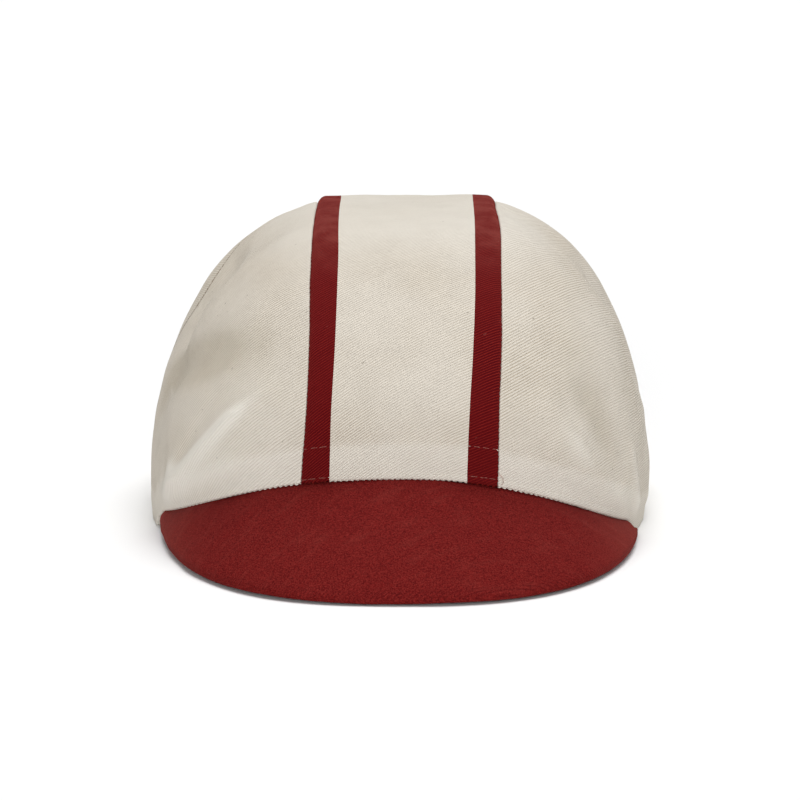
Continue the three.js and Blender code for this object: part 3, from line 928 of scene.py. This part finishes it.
def hem_stitches(name, row, tilt, phase):
    """An uneven row of stitches round the hem, each dipping into the cloth at its ends."""
    random = np.random.default_rng(int(row * 10))
    fine = np.linspace(-np.pi, np.pi, 4001)
    line = crown_at(fine, rim_height(fine) + row)
    length = travelled(line[:, None], 0)[:, 0]
    pitch = STITCH_LENGTH + STITCH_GAP
    count = int(length[-1] / pitch)
    steps = np.linspace(0, 1, STITCH_STEPS)[None, :]
    begin = (np.arange(count) + phase) * length[-1] / count + random.normal(0, 0.12, count)
    span = STITCH_LENGTH * random.uniform(0.9, 1.06, count)
    slant = random.normal(0, 0.1, count)
    angle = np.interp(begin[:, None] + span[:, None] * steps, length, fine)
    face, normal = surface_at(angle, row_height(row, tilt, angle) + slant[:, None] * (steps - 0.5))
    bow = STITCH_BOW * np.sin(np.pi * steps) ** 0.5 - STITCH_SINK
    centre = angle[:, STITCH_STEPS // 2]
    _, across, half = strip_place(crown_at(centre, rim_height(centre) + row))
    on_stripe = (np.abs(across) < half) & (np.abs(across) > half - STRIPE_WIDTH)
    return thread(name, list(face + normal * bow[..., None]), on_stripe, THREAD_RADIUS)


def loose_end(name):
    """A loose end of thread, curled out of the seam beside the right stripe above the brim, and its knot."""
    turn = math.radians(LOOSE_END_TURN)
    start = float(heading(crown_over(np.array(LOOSE_END_ACROSS), np.array(turn))))

    def along(places, steps, lift):
        places = np.array(places, float)
        t = np.linspace(0, len(places) - 1, steps)
        x = np.interp(t, np.arange(len(places)), places[:, 0])
        height = np.interp(t, np.arange(len(places)), places[:, 1])
        face, normal = surface_at(start + x / plan_radius(start), height)
        return face + normal * lift

    paths = [along(LOOSE_CURL, 25, 0.16), along(LOOSE_KNOT, 6, 0.1)]
    return thread(name, paths, [0.5, 0], 2 * THREAD_RADIUS)


class Shader:
    """A material's node tree, built up by short calls."""

    def __init__(self, name):
        self.material = bpy.data.materials.new(name)
        self.material.use_nodes = True
        self.tree = self.material.node_tree
        self.tree.nodes.clear()

    def feed(self, socket, value):
        """Links an input to another node's output, or gives it a value."""
        if isinstance(value, bpy.types.NodeSocket):
            self.tree.links.new(value, socket)
        else:
            socket.default_value = value

    def node(self, kind, inputs=(), out=0, **settings):
        made = self.tree.nodes.new("ShaderNode" + kind)
        for key, value in settings.items():
            setattr(made, key, value)
        for key, value in dict(inputs).items():
            self.feed(made.inputs[key], value)
        return made.outputs[out] if made.outputs else made

    def carried(self, name):
        """One of the vectors that the mesh's points carry."""
        return self.node("Attribute", attribute_name=name, out=1)

    def place(self):
        return self.node("TexCoord", out=3)

    def parts(self, vector):
        made = self.tree.nodes.new("ShaderNodeSeparateXYZ")
        self.tree.links.new(vector, made.inputs[0])
        return made.outputs

    def grey(self, value):
        return self.node("CombineColor", {0: value, 1: value, 2: value})

    def math(self, operation, a, b=0.0, c=0.0):
        return self.node("Math", {0: a, 1: b, 2: c}, operation=operation)

    def noise(self, vector, scale, detail=2.0, rough=0.5):
        inputs = {"Vector": vector, "Scale": scale, "Detail": detail, "Roughness": rough}
        return self.node("TexNoise", inputs)

    def step(self, value, low, high, to_low=0.0, to_high=1.0):
        inputs = {"Value": value, "From Min": low, "From Max": high, "To Min": to_low, "To Max": to_high}
        return self.node("MapRange", inputs, interpolation_type="SMOOTHSTEP")

    def blend(self, share, a, b, kind="MIX"):
        made = self.tree.nodes.new("ShaderNodeMix")
        made.data_type = "RGBA"
        made.blend_type = kind
        for key, value in ((0, share), (6, a), (7, b)):
            self.feed(made.inputs[key], (*value, 1) if isinstance(value, tuple) else value)
        return made.outputs[2]

    def stretch(self, vector, x, y, z=0.0):
        return self.node("VectorMath", {0: vector, 1: (x, y, z)}, operation="MULTIPLY")

    def rib_line(self, ribs, low, high):
        """1 on the narrow lines between the ribs and 0 on the ribs."""
        saw = self.math("SUBTRACT", self.math("FRACT", ribs), 0.5)
        return self.step(self.math("MULTIPLY", self.math("ABSOLUTE", saw), 2.0), low, high)

    def surface(self, colour, rough, bumps, sheen, sheen_rough, tint, gloss=0.08):
        """The cloth's shader. bumps holds heights and their depth in metres, the coarsest first."""
        normal = None
        for height, depth in bumps:
            inputs = {"Height": height, "Distance": depth, "Strength": 1.0}
            if normal is not None:
                inputs["Normal"] = normal
            normal = self.node("Bump", inputs)
        inputs = {"Base Color": colour, "Roughness": rough, "Normal": normal, "Sheen Weight": sheen}
        inputs |= {"Sheen Roughness": sheen_rough, "Sheen Tint": (*tint, 1), "Specular IOR Level": gloss}
        shader = self.node("BsdfPrincipled", inputs)
        self.node("OutputMaterial", {"Surface": shader})
        return self.material


def linear(r, g, b):
    """An sRGB colour of 0 to 255 as the shader's linear colour."""
    shares = (c / 255 for c in (r, g, b))
    return tuple(c / 12.92 if c < 0.0404 else ((c + 0.055) / 1.055) ** 2.4 for c in shares)


BLACK = (0, 0, 0)
WHITE = (1, 1, 1)


def twill(
    name, rib, valley, pale, fleck, sheen, tint, crest, top_highlight,
    contrast=1.0, flecks=1.0, fold_shade=WHITE, doubled_and_lit_hem=0.0, uneven=0.06, seam_shade=BLACK,
):
    """Cotton twill: rounded ribs with narrow lines between them, uneven yarns, flecks and a soft nap. crest
    is the colour of the painted highlights on the folds' crests, the top and the hem, and the fold shade
    tints the painted shade in their valleys. The hem is paler for its doubled cloth and as painted light over
    the brim's shade, and the top's painted highlight has a strength and an unevenness."""
    s = Shader(name)
    coords = s.carried("weave")
    across, along, rim = s.parts(coords)
    edge, fold, seam = s.parts(s.carried("marks"))
    place = s.place()
    high = s.parts(place)[2]

    # The weave
    waver = s.noise(s.stretch(coords, 0.35, 0.12), 1.0, 2.0)
    ribs = s.math("DIVIDE", s.math("MULTIPLY_ADD", waver, 0.5, across), RIB_PITCH)
    line = s.rib_line(ribs, 0.42, 0.92)
    number = s.math("FLOOR", ribs)
    twist = s.math("SINE", s.math("MULTIPLY_ADD", along, 7.4, s.math("MULTIPLY", number, 2.1)))
    yarn = s.noise(s.stretch(coords, 1.3, 0.4), 1.0, 3.0, 0.6)
    fibre = s.noise(coords, 5.5, 4.0, 0.7)
    cloud = s.noise(place, 26.0, 2.0, 0.5)
    patch = s.noise(place, 140.0, 3.0, 0.55)
    depth = s.math("MULTIPLY", line, s.step(yarn, 0.25, 0.75, 0.62 * contrast, contrast))
    colour = s.blend(depth, rib, valley)
    colour = s.blend(s.step(cloud, 0.3, 0.7, 0.0, 0.5), colour, pale)
    shade = s.math("ADD", s.step(patch, 0.2, 0.8, 0.965, 1.02), s.step(fibre, 0.2, 0.8, -0.045, 0.045))
    colour = s.blend(1.0, colour, s.grey(shade), "MULTIPLY")
    speck = s.noise(s.stretch(coords, 0.9, 0.45), 1.0, 1.0, 0.4)
    colour = s.blend(s.step(speck, 0.765, 0.8, 0.0, 0.55 * flecks), colour, fleck)

    # Painted light and shade: paler sewn edges over the shade in their rounding, a paler hem for its doubled
    # cloth and over the brim's shade, a painted highlight on the top, painted shade along the seam over the
    # ear, and painted shade in the folds' valleys with painted highlights on their crests
    # Painted light: the sewn edges are painted paler, over the shade in their rounding
    colour = s.blend(s.step(edge, 0.1, 1.6, 0.16, 0.0), colour, pale)
    # The hem is paler: partly its doubled cloth, partly painted light over the shade that the brim casts
    colour = s.blend(s.step(rim, 9.0, 13.0, doubled_and_lit_hem, 0.0), colour, crest)
    # Painted highlight: the crown's top is lighter, as where the light from above falls, in uneven patches
    top_light_share = s.step(high, TOP_LIGHT_LOW, TOP_LIGHT_HIGH, 0.0, top_highlight)
    top_light_share = s.math("MULTIPLY", top_light_share, s.step(patch, 0.3, 0.7, 1.0 - uneven, 1.0 + uneven))
    colour = s.blend(top_light_share, colour, crest)
    # Painted shade: a dark dotted line along the seam over the ear, where its ditch would be in shade
    dots = s.step(s.noise(s.stretch(coords, 1.1, 1.1), 1.0, 1.0), 0.4, 0.6, 0.45, 0.95)
    colour = s.blend(s.math("MULTIPLY", s.step(seam, 0.25, 0.75, 1.0, 0.0), dots), colour, seam_shade)
    # Painted shade: the folds' valleys are darker
    colour = s.blend(s.step(fold, -1.7, -0.1, 1.0, 0.0), colour, s.blend(1.0, colour, fold_shade, "MULTIPLY"))
    # Painted highlight: the folds' crests are lighter
    colour = s.blend(s.step(fold, 0.5, 1.9, 0.0, 0.75), colour, crest)

    rough = s.step(fibre, 0.2, 0.8, 0.8, 0.96)
    relief = s.math("SUBTRACT", s.math("MULTIPLY", twist, 0.1), line)
    bumps = [(patch, 0.00012), (relief, 0.00011), (fibre, 0.00007)]
    return s.surface(colour, rough, bumps, sheen, 0.4, tint)


def brushed(name):
    """Brushed burgundy cotton: a short even nap, paler and more streaked towards the tips, and its twill
    where it rolls over the outer edge."""
    s = Shader(name)
    coords = s.carried("weave")
    edge, out, _ = s.parts(s.carried("marks"))
    near_tips = s.step(out, 0.55, 1.0)
    place = s.place()
    nap = s.noise(place, 2300.0, 2.0, 0.7)
    tuft = s.noise(place, 1500.0, 3.0, 0.65)
    patch = s.noise(place, 60.0, 3.0, 0.55)
    streak = s.noise(s.stretch(coords, 0.3, 0.07), 1.0, 3.0, 0.6)
    line = s.rib_line(s.math("DIVIDE", s.parts(coords)[0], RIB_PITCH), 0.4, 0.95)
    shown = s.math("MULTIPLY", line, s.step(edge, 1.2, 3.6, 0.8, 0.14))
    colour = s.blend(s.step(tuft, 0.34, 0.66), linear(80, 8, 10), linear(110, 22, 21))
    colour = s.blend(s.step(nap, 0.44, 0.64, 0.0, 0.6), colour, linear(138, 46, 41))
    colour = s.blend(s.step(patch, 0.3, 0.7, 0.0, 0.1), colour, linear(96, 18, 18))
    colour = s.blend(s.math("MULTIPLY", near_tips, 0.22), colour, linear(160, 82, 72))
    streaks = s.math("MULTIPLY", s.step(streak, 0.5, 0.72), s.math("MULTIPLY_ADD", near_tips, 0.22, 0.1))
    colour = s.blend(streaks, colour, linear(150, 66, 58))
    colour = s.blend(s.math("MULTIPLY", shown, 0.5), colour, linear(74, 8, 12))
    rough = s.step(nap, 0.2, 0.8, 0.82, 0.98)
    ribs = s.math("MULTIPLY", shown, -1.0)
    bumps = [(patch, 0.0001), (tuft, 0.00008), (nap, 0.00006), (ribs, 0.00008)]
    return s.surface(colour, rough, bumps, 0.05, 0.35, (1, 0.3, 0.25), 0.05)


def thread_cotton(name):
    """Pale sewing thread, two plies twisted, redder where the dye has stained it."""
    s = Shader(name)
    twist = s.noise(s.place(), 2600.0, 2.0, 0.5)
    stain = s.parts(s.carried("weave"))[0]
    clean = s.blend(s.step(twist, 0.3, 0.7), linear(214, 204, 190), linear(228, 222, 212))
    stained = s.blend(s.step(twist, 0.3, 0.7), linear(134, 70, 62), linear(186, 138, 126))
    colour = s.blend(stain, clean, stained)
    rough = s.step(twist, 0.3, 0.7, 0.55, 0.7)
    return s.surface(colour, rough, [(twist, 0.00008)], 0.2, 0.4, (1.0, 0.98, 0.95))


def dress(piece, material, slot, *nodes):
    """Gives a piece its material, the nodes it stands for and the body that carries it; slot is not used."""
    piece.data.materials.append(material)
    if nodes:
        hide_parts(*nodes)
    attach(piece, "root")


def soft_light(name, source, strength, spread):
    """Even light from a wide, far softbox in the direction of source."""
    light = bpy.data.lights.new(name, "SUN")
    light.energy = strength
    light.angle = math.radians(spread)
    lamp = add_object(name, light)
    lamp.rotation_euler = Vector(source).to_track_quat("Z", "Y").to_euler()


def studio():
    """A plain pale floor, soft light from above and in front, and the photograph's viewing angle."""
    scene = bpy.context.scene
    s = Shader("pale_floor")
    tone = s.step(s.noise(s.place(), 3.0, 2.0), 0.2, 0.8, 0.93, 0.95)
    inputs = {"Base Color": s.grey(tone), "Roughness": 0.9, "Specular IOR Level": 0.1}
    s.node("OutputMaterial", {"Surface": s.node("BsdfPrincipled", inputs)})
    mesh = bpy.data.meshes.new("floor")
    corners = [(x * FLOOR_HALF, y * FLOOR_HALF, 0) for x, y in ((-1, -1), (1, -1), (1, 1), (-1, 1))]
    mesh.from_pydata(corners, [], [(0, 1, 2, 3)])
    mesh.materials.append(s.material)
    floor = add_object("floor", mesh)

    world = bpy.data.worlds.new("studio")
    world.use_nodes = True
    sky = world.node_tree.nodes["Background"].inputs
    sky["Color"].default_value = (1.0, 1.0, 1.0, 1)
    sky["Strength"].default_value = WORLD_LIGHT
    scene.world = world
    for light in LIGHTS:
        soft_light(*light)

    tilt = math.radians(CAMERA_ELEVATION)
    back = Vector((0, -math.cos(tilt), math.sin(tilt)))
    data = bpy.data.cameras.new("camera")
    data.lens = CAMERA_LENS
    data.sensor_width = 36
    data.clip_start, data.clip_end = 0.05, 60
    camera = add_object("camera", data)
    camera.location = Vector(CAMERA_TARGET) + back * CAMERA_DISTANCE
    camera.rotation_euler = (-back).to_track_quat("-Z", "Y").to_euler()
    scene.camera = camera
    scene.view_settings.view_transform = "Standard"


def frame_shift():
    """From the crown's own axis to the frame, by the boxes of the centre panel and the brim."""
    low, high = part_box("centre_panel")
    x = (low.x + high.x) / 2 * 1000 + AXIS_PLACE
    normal, _ = brim_directions(np.array(0.0), np.array(1.0))
    front = brim_middle(np.array(0.0), np.array(1.0)) + normal * BRIM_EDGE_THICKNESS / 2
    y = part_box("brim_upper_cover")[0].y * 1000 - front[1] - BRIM_AHEAD
    return np.array([x, y, 0.0])


shift = frame_shift()

cream = twill(
    "cream_twill",
    rib=linear(217, 209, 196),
    valley=linear(168, 152, 128),
    pale=linear(222, 215, 204),
    fleck=linear(96, 84, 70),
    sheen=0.02,
    tint=(1, 0.98, 0.95),
    # crest is the colour of the painted highlights on the folds' crests, the top and the hem
    crest=linear(232, 227, 217),
    # a painted highlight on the top
    top_highlight=0.5,
    contrast=0.88,
    # painted shade in the folds' valleys
    fold_shade=(0.86, 0.845, 0.81),
    # paler hem: its doubled cloth, and painted light over the brim's shade
    doubled_and_lit_hem=0.42,
    # painted shade along the seam over the ear
    seam_shade=linear(116, 98, 76),
)
burgundy = twill(
    "burgundy_twill",
    rib=linear(80, 0, 9),
    valley=linear(136, 33, 25),
    pale=linear(102, 14, 15),
    fleck=linear(150, 84, 76),
    sheen=0.2,
    tint=(1, 0.16, 0.12),
    crest=linear(172, 98, 88),
    # a painted highlight on the top, and below, how patchy it is
    top_highlight=0.15,
    uneven=0.7,
    flecks=0.4,
)
brim_cloth = brushed("brim_cloth")
sewing_thread = thread_cotton("sewing_thread")

for name, side, front in [
    ("side_panel_front_left", -1, True),
    ("side_panel_front_right", 1, True),
    ("side_panel_back_left", -1, False),
    ("side_panel_back_right", 1, False),
]:
    dress(side_panel(name + "_cloth", side, front), cream, "cream_twill", name)

columns, rows = CENTRE_GRID
centre = strip_band(
    "centre_panel_cloth",
    lambda turn: -strip_line("left_inner", turn),
    lambda turn: strip_line("right_inner", turn),
    np.linspace(0, 1, columns),
    rows,
)
dress(centre, cream, "cream_twill", "centre_panel")
columns, rows = STRIPE_GRID
for name, side in (("left", -1), ("right", 1)):
    band = strip_band(
        f"stripe_{name}_cloth",
        lambda turn: side * strip_line(name + "_inner", turn),
        lambda turn: side * strip_line(name, turn),
        1 - (1 - np.linspace(0, 1, columns)) ** 1.7,
        rows,
        CREASE_DEPTH,
    )
    dress(band, burgundy, "burgundy_twill", f"stripe_{name}")

dress(hem_band("hem_cloth"), cream, "hem_twill", "hem_band")
dress(brim_cover("brim_upper_cloth", True), brim_cloth, "brim_cloth", "brim_upper_cover")
dress(brim_cover("brim_under_cloth", False), brim_cloth, "brim_cloth", "brim_under_cover")
dress(hem_stitches("hem_stitches_upper", UPPER_ROW, UPPER_ROW_TILT, 0.0), sewing_thread, "cream_twill")
dress(hem_stitches("hem_stitches_lower", LOWER_ROW, LOWER_ROW_TILT, 0.4), sewing_thread, "cream_twill")
dress(loose_end("loose_thread_end"), sewing_thread, "cream_twill")

studio()
